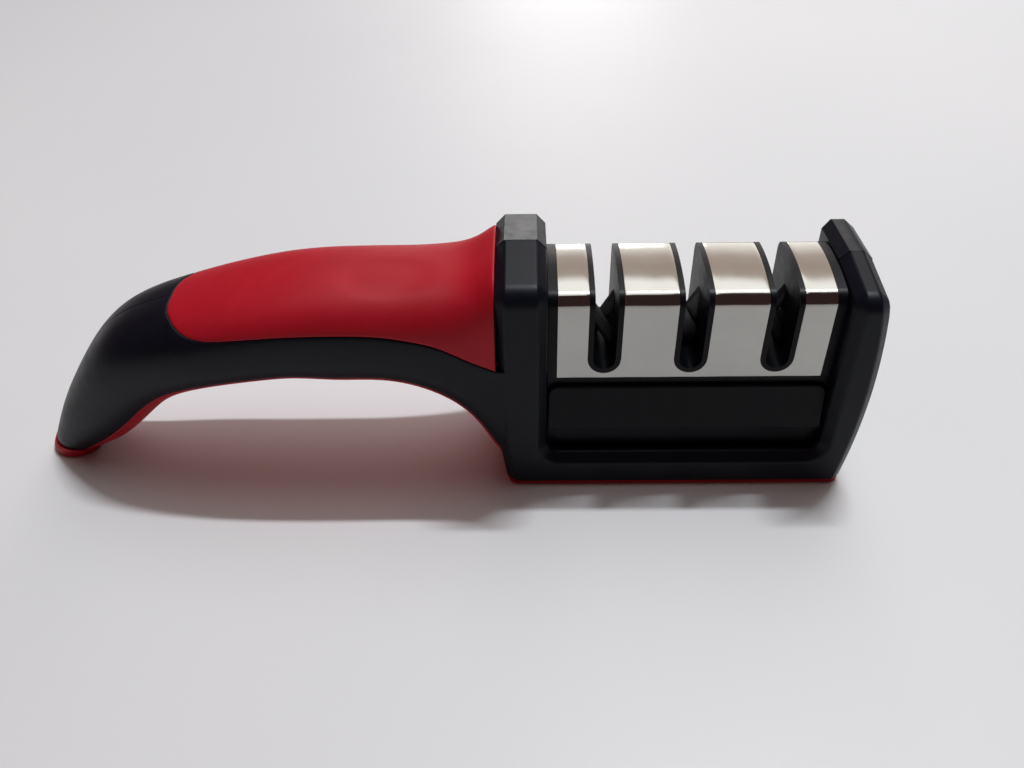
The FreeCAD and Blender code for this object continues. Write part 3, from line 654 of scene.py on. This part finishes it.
def make_shell(side):
    """One body shell: its half of the frame and of the handle, with the screw holes at the rear."""
    shell = combine(make_frame_half(side), make_handle_half(), "UNION")
    if side == REAR:
        mirror_mesh(shell)
        for centre in SCREWS:
            hole = finish_mesh(cylinder_bm(centre, SCREW_HEAD / 2 + 0.15, SCREW_SEAT, 30.0), "hole")
            combine(shell, hole, "DIFFERENCE")
    name = f"{SIDE_NAMES[side]}_body_shell"
    shell.name = f"{name}_moulded"
    clean(shell, sharp_angle=42)
    return weighted(shell)


# ------------------------------------------------------------------ steel cover

COVER = "steel_slot_cover"
COVER_HALF_DEPTH = high(COVER, 1)
COVER_TOP = high(COVER, 2)
COVER_BOTTOM = low(COVER, 2)
COVER_CROWN = 50.0
COVER_BEND = 3.5
COVER_THICKNESS = 0.7
SLOT_HALF_WIDTH = 3.8
SLOT_FLOOR = 32.1


def cover_profile():
    """The cover's outer section from its front bottom edge to the top, as (y, z) points."""
    centre_z = COVER_TOP - COVER_CROWN
    bend_y = -COVER_HALF_DEPTH + COVER_BEND
    bend_z = centre_z + math.sqrt((COVER_CROWN - COVER_BEND) ** 2 - bend_y ** 2)
    turn = math.atan2(bend_z - centre_z, -bend_y)
    points = [(-COVER_HALF_DEPTH, z) for z in slot_rows()]
    points += [(-COVER_HALF_DEPTH, z) for z in np.linspace(SLOT_FLOOR + SLOT_HALF_WIDTH, bend_z, 14)[1:]]
    points += [(bend_y - COVER_BEND * math.cos(a), bend_z + COVER_BEND * math.sin(a))
               for a in np.linspace(0, turn, 26)[1:]]
    points += [(-COVER_CROWN * math.cos(a), centre_z + COVER_CROWN * math.sin(a))
               for a in np.linspace(turn, math.pi / 2, 20)[1:]]
    return np.array(points)


SLOT_ROWS = 8


def slot_rows(top=None):
    """Heights of the rows from the cover's bottom to the slot's round end."""
    top = SLOT_FLOOR + SLOT_HALF_WIDTH if top is None else top
    return COVER_BOTTOM + (top - COVER_BOTTOM) * np.linspace(0, 1, SLOT_ROWS + 1)


def sheet_sag(x, y, z):
    """How far the punched sheet gives way: die roll at the slots' edges and a faint long wave."""
    nearest = min(abs(abs(x - centre) - SLOT_HALF_WIDTH) for centre in SLOT_CENTRES)
    if z < SLOT_FLOOR:
        nearest = 5.0
    roll = 0.10 * math.exp(-nearest / 0.35)
    wave = 0.03 * math.sin(x * 0.55 + 1.3) * math.sin(z * 0.31 + y * 0.1)
    return roll + wave


def make_cover():
    """Polished sheet-steel cover: bent section, crowned top, three punched slots, rolled edges."""
    left, right = low(COVER, 0), high(COVER, 0)
    half = cover_profile()
    rear = half[::-1][1:] * np.array([-1, 1])
    profile = np.concatenate([half, rear])
    columns = []
    slot_edges = [centre + d for centre in SLOT_CENTRES for d in (-SLOT_HALF_WIDTH, SLOT_HALF_WIDTH)]
    edges = [left] + slot_edges + [right]
    near_edge = [0.0, 0.15, 0.4, 0.9]
    for start, end in zip(edges[::2], edges[1::2]):
        inner = [start + d for d in near_edge] + [end - d for d in near_edge[::-1]]
        middle = list(np.linspace(inner[3], inner[4], max(4, int((end - start) / 0.8)))[1:-1])
        columns.append(("web", inner[:4] + middle + inner[4:]))
    slots = [("slot", [centre - SLOT_HALF_WIDTH * math.cos(math.pi * k / 16) for k in range(17)])
             for centre in SLOT_CENTRES]
    order = [columns[0], slots[0], columns[1], slots[1], columns[2], slots[2], columns[3]]
    vertices, faces, index = [], [], {}

    def vertex(x, y, z):
        key = (round(x, 4), round(y, 4), round(z, 4))
        if key not in index:
            index[key] = len(vertices)
            vertices.append((x, y, z))
        return index[key]

    for kind, places in order:
        if kind == "web":
            grid = [[vertex(x, y, z) for y, z in profile] for x in places]
            for first, second in zip(grid, grid[1:]):
                for k in range(len(profile) - 1):
                    faces.append((first[k], second[k], second[k + 1], first[k + 1]))
            continue
        centre = (places[0] + places[-1]) / 2
        for side in (FRONT, REAR):
            grid = []
            for x in places:
                reach = max(SLOT_HALF_WIDTH ** 2 - (x - centre) ** 2, 0.0)
                top = SLOT_FLOOR + SLOT_HALF_WIDTH - math.sqrt(reach)
                grid.append([vertex(x, side * COVER_HALF_DEPTH, z) for z in slot_rows(top)])
            for first, second in zip(grid, grid[1:]):
                for k in range(SLOT_ROWS):
                    quad = (first[k], second[k], second[k + 1], first[k + 1])
                    faces.append(quad if side == FRONT else quad[::-1])
    cover = make_object("steel_slot_cover_polished", vertices, faces)
    clean(cover, sharp_angle=60, outward=False)
    give_way(cover)
    solidify = cover.modifiers.new("Thickness", "SOLIDIFY")
    solidify.thickness = COVER_THICKNESS * MM
    solidify.offset = -1.0
    bevel = cover.modifiers.new("Rim", "BEVEL")
    bevel.width = 0.12 * MM
    bevel.segments = 2
    bevel.limit_method = "ANGLE"
    bevel.angle_limit = math.radians(50)
    return weighted(cover)


def give_way(cover):
    """Applies the sheet's sag along its own normals."""
    normals = [Vector(v.normal) for v in cover.data.vertices]
    for vertex, normal in zip(cover.data.vertices, normals):
        x, y, z = vertex.co / MM
        vertex.co -= normal * sheet_sag(x, y, z) * MM


# ------------------------------------------------------------------ apron plates and base pad

APRON_TOP = high("front_apron_plate", 2)
APRON_BOTTOM = low("front_apron_plate", 2)
APRON_CORNER = 2.4
APRON_REACH_BOTTOM = 14.6
APRON_REACH_TOP = 12.7


def make_apron(side):
    """Sloping plate under the cover, with round top corners and soft edges."""
    left, right = low("front_apron_plate", 0), high("front_apron_plate", 0)
    corner = APRON_CORNER
    slant = corner * (1 - math.sqrt(0.5))
    outline = [(left, APRON_BOTTOM), (right, APRON_BOTTOM), (right, APRON_TOP - corner)]
    outline += arc_points(outline[-1], (right - slant, APRON_TOP - slant), (right - corner, APRON_TOP), 8)
    outline += [(left + corner, APRON_TOP)]
    outline += arc_points(outline[-1], (left + slant, APRON_TOP - slant), (left, APRON_TOP - corner), 8)
    bm = prism(outline, -11.5, -APRON_REACH_BOTTOM)
    for vertex in bm.verts:
        if vertex.co.y < -12:
            share = (vertex.co.z - APRON_BOTTOM) / (APRON_TOP - APRON_BOTTOM)
            vertex.co.y = -(APRON_REACH_BOTTOM + (APRON_REACH_TOP - APRON_REACH_BOTTOM) * share)
    bevel_edges(bm, lambda e: is_sharp(e, 40) and all(v.co.y < -12 for v in e.verts), 0.5, 4)
    piece = finish_mesh(bm, f"{SIDE_NAMES[side]}_apron_plate_moulded")
    if side == REAR:
        mirror_mesh(piece)
    return weighted(clean(piece, sharp_angle=42))


def make_base_pad():
    """Soft pad under the head with round corners and a rounded rim."""
    node = "head_base_pad"
    left, right, front, rear = low(node, 0), high(node, 0), low(node, 1), high(node, 1)
    corner = CHAMFER
    outline = []
    for x, y, start in ((right - corner, rear - corner, 0), (left + corner, rear - corner, 90),
                        (left + corner, front + corner, 180), (right - corner, front + corner, 270)):
        for k in range(9):
            angle = math.radians(start + 90 * k / 8)
            outline.append((x + corner * math.cos(angle), y + corner * math.sin(angle)))
    bm = prism(outline, low(node, 2), high(node, 2) + 0.02)
    for vertex in bm.verts:
        vertex.co = (vertex.co.x, vertex.co.z, vertex.co.y)
    bmesh.ops.recalc_face_normals(bm, faces=bm.faces)
    bevel_edges(bm, lambda e: is_sharp(e, 50), 0.35, 3)
    return weighted(clean(finish_mesh(bm, "head_base_pad_moulded")))


# ------------------------------------------------------------------ materials

def new_material(name, **values):
    """A material with its principled shader's sockets set, its nodes and its links."""
    material = bpy.data.materials.new(name)
    material.use_nodes = True
    nodes, links = material.node_tree.nodes, material.node_tree.links
    shader = nodes["Principled BSDF"]
    for socket, value in values.items():
        shader.inputs[socket.replace("_", " ")].default_value = value
    return material, nodes, links, shader


def object_place(nodes, links, stretch=(1, 1, 1)):
    """Object coordinates in millimetres, stretched along each axis."""
    place = nodes.new("ShaderNodeTexCoord")
    mapping = nodes.new("ShaderNodeMapping")
    mapping.inputs["Scale"].default_value = [1000 * k for k in stretch]
    links.new(place.outputs["Object"], mapping.inputs["Vector"])
    return mapping.outputs["Vector"]


def noise(nodes, links, place, scale, detail=4.0, rough=0.55):
    """Noise whose scale is in cells per millimetre."""
    node = nodes.new("ShaderNodeTexNoise")
    node.inputs["Scale"].default_value = scale
    node.inputs["Detail"].default_value = detail
    node.inputs["Roughness"].default_value = rough
    links.new(place, node.inputs["Vector"])
    return node.outputs["Fac"]


def ramp(nodes, links, value, stops):
    """A colour ramp through (place, grey or colour) stops."""
    node = nodes.new("ShaderNodeValToRGB")
    elements = node.color_ramp.elements
    while len(elements) < len(stops):
        elements.new(0.5)
    for element, (place, colour) in zip(elements, stops):
        element.position = place
        element.color = (*colour, 1) if isinstance(colour, tuple) else (colour, colour, colour, 1)
    links.new(value, node.inputs["Fac"])
    return node.outputs["Color"]


def bump(nodes, links, shader, layers):
    """A chain of bump nodes from (height, strength, distance in millimetres)."""
    normal = None
    for height, strength, distance in layers:
        node = nodes.new("ShaderNodeBump")
        node.inputs["Strength"].default_value = strength
        node.inputs["Distance"].default_value = distance * MM
        links.new(height, node.inputs["Height"])
        if normal is not None:
            links.new(normal, node.inputs["Normal"])
        normal = node.outputs["Normal"]
    links.new(normal, shader.inputs["Normal"])


def black_plastic(name, dark, light, rough_low, rough_high, grain, gloss):
    """Spark-textured black plastic: fine grain, faint flow marks and uneven sheen."""
    material, nodes, links, shader = new_material(name, Specular_IOR_Level=gloss)
    place = object_place(nodes, links)
    broad = noise(nodes, links, place, 0.06, 3.0)
    fine = noise(nodes, links, place, 2.6, 3.0, 0.6)
    links.new(ramp(nodes, links, broad, [(0.35, dark), (0.7, light)]), shader.inputs["Base Color"])
    patches = noise(nodes, links, place, 0.35, 4.0)
    rough = ramp(nodes, links, patches, [(0.3, rough_low), (0.75, rough_high)])
    links.new(rough, shader.inputs["Roughness"])
    bump(nodes, links, shader, [(fine, grain, 0.03), (broad, 0.15, 0.2)])
    return material


def red_rubber():
    """Matte red elastomer: deep red with a soft bloom and a fine skin."""
    material, nodes, links, shader = new_material(
        "soft_red_rubber", Specular_IOR_Level=0.24, Sheen_Weight=0.03, Sheen_Roughness=0.4,
        Sheen_Tint=(1.0, 0.2, 0.3, 1.0))
    place = object_place(nodes, links)
    broad = noise(nodes, links, place, 0.05, 4.0)
    fine = noise(nodes, links, place, 3.2, 3.0, 0.6)
    links.new(ramp(nodes, links, broad, [(0.3, (0.40, 0.004, 0.014)), (0.7, (0.47, 0.006, 0.018))]),
              shader.inputs["Base Color"])
    links.new(ramp(nodes, links, noise(nodes, links, place, 0.4, 4.0), [(0.3, 0.46), (0.75, 0.58)]),
              shader.inputs["Roughness"])
    bump(nodes, links, shader, [(fine, 0.25, 0.03), (broad, 0.1, 0.2)])
    return material


def polished_steel(name, colour, rough_low, rough_high):
    """Polished sheet steel: fine lines along the sheet, hazy patches and hairline scratches."""
    material, nodes, links, shader = new_material(name, Metallic=1.0, Anisotropic=0.25)
    place = object_place(nodes, links)
    lines = noise(nodes, links, object_place(nodes, links, (0.12, 6.0, 6.0)), 1.0, 3.0)
    haze = noise(nodes, links, place, 0.12, 5.0)
    darker = tuple(c * 0.93 for c in colour)
    links.new(ramp(nodes, links, haze, [(0.3, darker), (0.7, colour)]), shader.inputs["Base Color"])
    links.new(ramp(nodes, links, haze, [(0.3, rough_low), (0.75, rough_high)]), shader.inputs["Roughness"])
    bump(nodes, links, shader, [(lines, 0.10, 0.01), (haze, 0.06, 0.3)])
    return material


def diamond_coat():
    """Grey metal rod coated with fine diamond grit."""
    material, nodes, links, shader = new_material("diamond_coated_rod", Metallic=0.6)
    place = object_place(nodes, links)
    grit = nodes.new("ShaderNodeTexVoronoi")
    grit.inputs["Scale"].default_value = 6.0
    links.new(place, grit.inputs["Vector"])
    height = grit.outputs["Distance"]
    links.new(ramp(nodes, links, height, [(0.0, 0.30), (0.6, 0.08)]), shader.inputs["Base Color"])
    links.new(ramp(nodes, links, height, [(0.0, 0.25), (0.5, 0.7)]), shader.inputs["Roughness"])
    bump(nodes, links, shader, [(height, 0.8, 0.06)])
    return material


def ground_material(name, dark, light, metallic, rough):
    """A fine ground surface, for the carbide blades, the ceramic rods and the screws."""
    material, nodes, links, shader = new_material(name, Metallic=metallic)
    lines = noise(nodes, links, object_place(nodes, links, (6.0, 6.0, 0.3)), 1.0, 3.0)
    links.new(ramp(nodes, links, lines, [(0.3, dark), (0.7, light)]), shader.inputs["Base Color"])
    links.new(ramp(nodes, links, lines, [(0.3, rough), (0.7, rough + 0.15)]), shader.inputs["Roughness"])
    bump(nodes, links, shader, [(lines, 0.2, 0.02)])
    return material


def table_material():
    """Off-white laminate with a faint pebbled skin."""
    material, nodes, links, shader = new_material("pale_table", Specular_IOR_Level=0.25)
    place = object_place(nodes, links)
    broad = noise(nodes, links, place, 0.004, 3.0)
    fine = noise(nodes, links, place, 0.55, 5.0, 0.6)
    links.new(ramp(nodes, links, broad, [(0.3, (0.72, 0.735, 0.75)), (0.7, (0.76, 0.77, 0.78))]),
              shader.inputs["Base Color"])
    links.new(ramp(nodes, links, fine, [(0.3, 0.34), (0.7, 0.44)]), shader.inputs["Roughness"])
    bump(nodes, links, shader, [(fine, 0.10, 0.25)])
    return material


def paint(piece, material):
    """Puts one material on every slot of a piece."""
    if not piece.data.materials:
        piece.data.materials.append(material)
    for slot in piece.material_slots:
        slot.material = material


# ------------------------------------------------------------------ assembly of the looks

MATERIALS = {
    "body_black": black_plastic("body_black_plastic", (0.0030, 0.0048, 0.0095), (0.0045, 0.0070, 0.0135),
                                0.34, 0.44, 0.25, 0.18),
    "core_black": black_plastic("core_black_plastic", (0.0025, 0.0035, 0.0055), (0.0035, 0.0045, 0.0075),
                                0.34, 0.44, 0.15, 0.14),
    "soft_red": red_rubber(),
    "cover_steel": polished_steel("cover_steel_polished", (0.43, 0.425, 0.40), 0.08, 0.14),
    "diamond_coat": diamond_coat(),
    "carbide": ground_material("carbide_ground", (0.16, 0.16, 0.17), (0.24, 0.24, 0.25), 0.9, 0.32),
    "ceramic_rod": ground_material("ceramic_dark", (0.035, 0.036, 0.040), (0.055, 0.056, 0.060), 0.0, 0.42),
    "screw_steel": ground_material("screw_zinc", (0.45, 0.45, 0.46), (0.60, 0.60, 0.61), 1.0, 0.25),
}


def place_piece(piece, slot, *nodes):
    """Paints a finished piece with its slot's material, puts it on the body and hides the CAD nodes that it
    stands for.
    """
    paint(piece, MATERIALS[slot])
    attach(piece, "root")
    if nodes:
        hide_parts(*nodes)


def dress_nodes():
    """CAD nodes that keep their own shape get the detailed materials."""
    slot_of = {
        "front_core_half": "core_black",
        "rear_core_half": "core_black",
        "core_base_plate": "core_black",
        "core_plate_screws": "screw_steel",
        "handle_shell_screws": "screw_steel",
        "head_shell_screws": "screw_steel",
    }
    for node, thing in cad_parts.items():
        slot = slot_of.get(node)
        if slot is None and node.startswith("coarse"):
            slot = "diamond_coat"
        elif slot is None and node.startswith("medium"):
            slot = "carbide"
        elif slot is None and node.startswith("fine"):
            slot = "ceramic_rod"
        if slot is not None:
            paint(thing, MATERIALS[slot])


def make_pieces():
    """Every piece that Blender makes in place of a CAD node."""
    for side in (FRONT, REAR):
        name = SIDE_NAMES[side]
        place_piece(make_shell(side), "body_black", f"{name}_body_shell")
        place_piece(make_apron(side), "core_black", f"{name}_apron_plate")
    place_piece(make_grip(), "soft_red", "soft_grip_skin")
    place_piece(make_strip(), "soft_red", "soft_underside_strip")
    place_piece(make_sole(), "soft_red", "soft_underside_strip")
    place_piece(make_base_pad(), "soft_red", "head_base_pad")
    place_piece(make_cover(), "cover_steel", "steel_slot_cover")
    dress_nodes()


# ------------------------------------------------------------------ floor, light and camera

def make_floor():
    """A plain pale table top."""
    reach = 3.0
    corners = [(-reach, -reach, 0), (reach, -reach, 0), (reach, reach, 0), (-reach, reach, 0)]
    mesh = bpy.data.meshes.new("table")
    mesh.from_pydata(corners, [], [(0, 1, 2, 3)])
    floor = bpy.data.objects.new("table", mesh)
    bpy.context.scene.collection.objects.link(floor)
    mesh.materials.append(table_material())


def area_light(name, length, width, energy, colour, place):
    """A rectangular light at a place in metres that points straight down, with its length along X."""
    data = bpy.data.lights.new(name, "AREA")
    data.shape = "RECTANGLE"
    data.size = length
    data.size_y = width
    data.energy = energy
    data.color = colour
    light = bpy.data.objects.new(name, data)
    bpy.context.scene.collection.objects.link(light)
    light.location = place
    return light


def graded(nodes, links, value, start, end, first, second):
    """A colour that goes from the first to the second while a value runs from start to end."""
    share = nodes.new("ShaderNodeMapRange")
    share.inputs["From Min"].default_value = start
    share.inputs["From Max"].default_value = end
    links.new(value, share.inputs["Value"])
    blend = nodes.new("ShaderNodeMix")
    blend.data_type = "RGBA"
    links.new(share.outputs["Result"], blend.inputs["Factor"])
    for socket, colour in (("A", first), ("B", second)):
        target = [item for item in blend.inputs if item.name == socket and item.type == "RGBA"][0]
        if isinstance(colour, tuple):
            target.default_value = (*colour, 1)
        else:
            links.new(colour, target)
    return [item for item in blend.outputs if item.type == "RGBA"][0]


ROOM_BROWN = (0.055, 0.030, 0.030)
WARM_WALL = (0.10, 0.038, 0.032)
CEILING_WHITE = (2.0, 1.98, 1.94)
CEILING_TAN = (0.74, 0.60, 0.53)


def make_world():
    """A dim warm room: a pale strip of ceiling runs from behind the object to above it."""
    world = bpy.data.worlds.new("room")
    bpy.context.scene.world = world
    world.use_nodes = True
    nodes, links = world.node_tree.nodes, world.node_tree.links
    place = nodes.new("ShaderNodeTexCoord")
    split = nodes.new("ShaderNodeSeparateXYZ")
    links.new(place.outputs["Generated"], split.inputs["Vector"])
    behind = ramp(nodes, links, split.outputs["Z"], [
        (0.0, (0.50, 0.48, 0.46)), (0.15, CEILING_WHITE), (0.28, (1.55, 1.45, 1.36)),
        (0.45, (0.86, 0.72, 0.64)), (0.60, CEILING_TAN), (0.70, (0.80, 0.68, 0.60)),
        (0.765, CEILING_WHITE), (1.0, CEILING_WHITE)])
    before = ramp(nodes, links, split.outputs["Z"], [
        (0.0, ROOM_BROWN), (0.975, ROOM_BROWN), (0.998, CEILING_WHITE)])
    over = graded(nodes, links, split.outputs["Y"], -0.06, 0.06, before, behind)
    left = graded(nodes, links, split.outputs["X"], -0.22, -0.06, WARM_WALL, over)
    room = graded(nodes, links, split.outputs["X"], 0.42, 0.58, left, ROOM_BROWN)
    background = nodes["Background"]
    links.new(room, background.inputs["Color"])
    background.inputs["Strength"].default_value = 1.0


LAMP_PLACE = (0.35, 0.405, 1.6)
LAMP_LENGTH = 0.5
LAMP_WIDTH = 0.05
LAMP_ENERGY = 17.4
LAMP_COLOUR = (0.935, 0.965, 1.0)
WINDOW_PLACE = Vector((0.154, 2.930, 0.624))
WINDOW_LENGTH = 0.55
WINDOW_HEIGHT = 0.45
WINDOW_ENERGY = 5.5
WINDOW_COLOUR = (1.0, 0.98, 0.96)


def make_lights():
    """A long ceiling lamp above and to the right, and a weak window far behind the object."""
    make_world()
    area_light("ceiling_tube", LAMP_LENGTH, LAMP_WIDTH, LAMP_ENERGY, LAMP_COLOUR, LAMP_PLACE)
    window = area_light("far_window", WINDOW_LENGTH, WINDOW_HEIGHT, WINDOW_ENERGY, WINDOW_COLOUR,
                        WINDOW_PLACE)
    window.rotation_euler = (-WINDOW_PLACE).to_track_quat("-Z", "Y").to_euler()


CAMERA_PLACE = (0.02245, -0.18316, 0.17571)
CAMERA_TILT = 40.65
CAMERA_TURN = 1.22
CAMERA_LENS = 33.64


def make_camera():
    """The camera at the viewing angle: place, downward tilt, a slight turn and as much roll."""
    data = bpy.data.cameras.new("camera")
    data.sensor_width = 36.0
    data.lens = CAMERA_LENS
    data.clip_start = 0.01
    camera = bpy.data.objects.new("camera", data)
    bpy.context.scene.collection.objects.link(camera)
    turn = Matrix.Rotation(math.radians(CAMERA_TURN), 4, "Z")
    tilt = Matrix.Rotation(math.radians(90 - CAMERA_TILT), 4, "X")
    roll = Matrix.Rotation(math.radians(-CAMERA_TURN), 4, "Z")
    camera.matrix_world = Matrix.Translation(CAMERA_PLACE) @ turn @ tilt @ roll
    bpy.context.scene.camera = camera


make_pieces()
make_floor()
make_lights()
make_camera()
bpy.context.scene.view_settings.view_transform = "Standard"
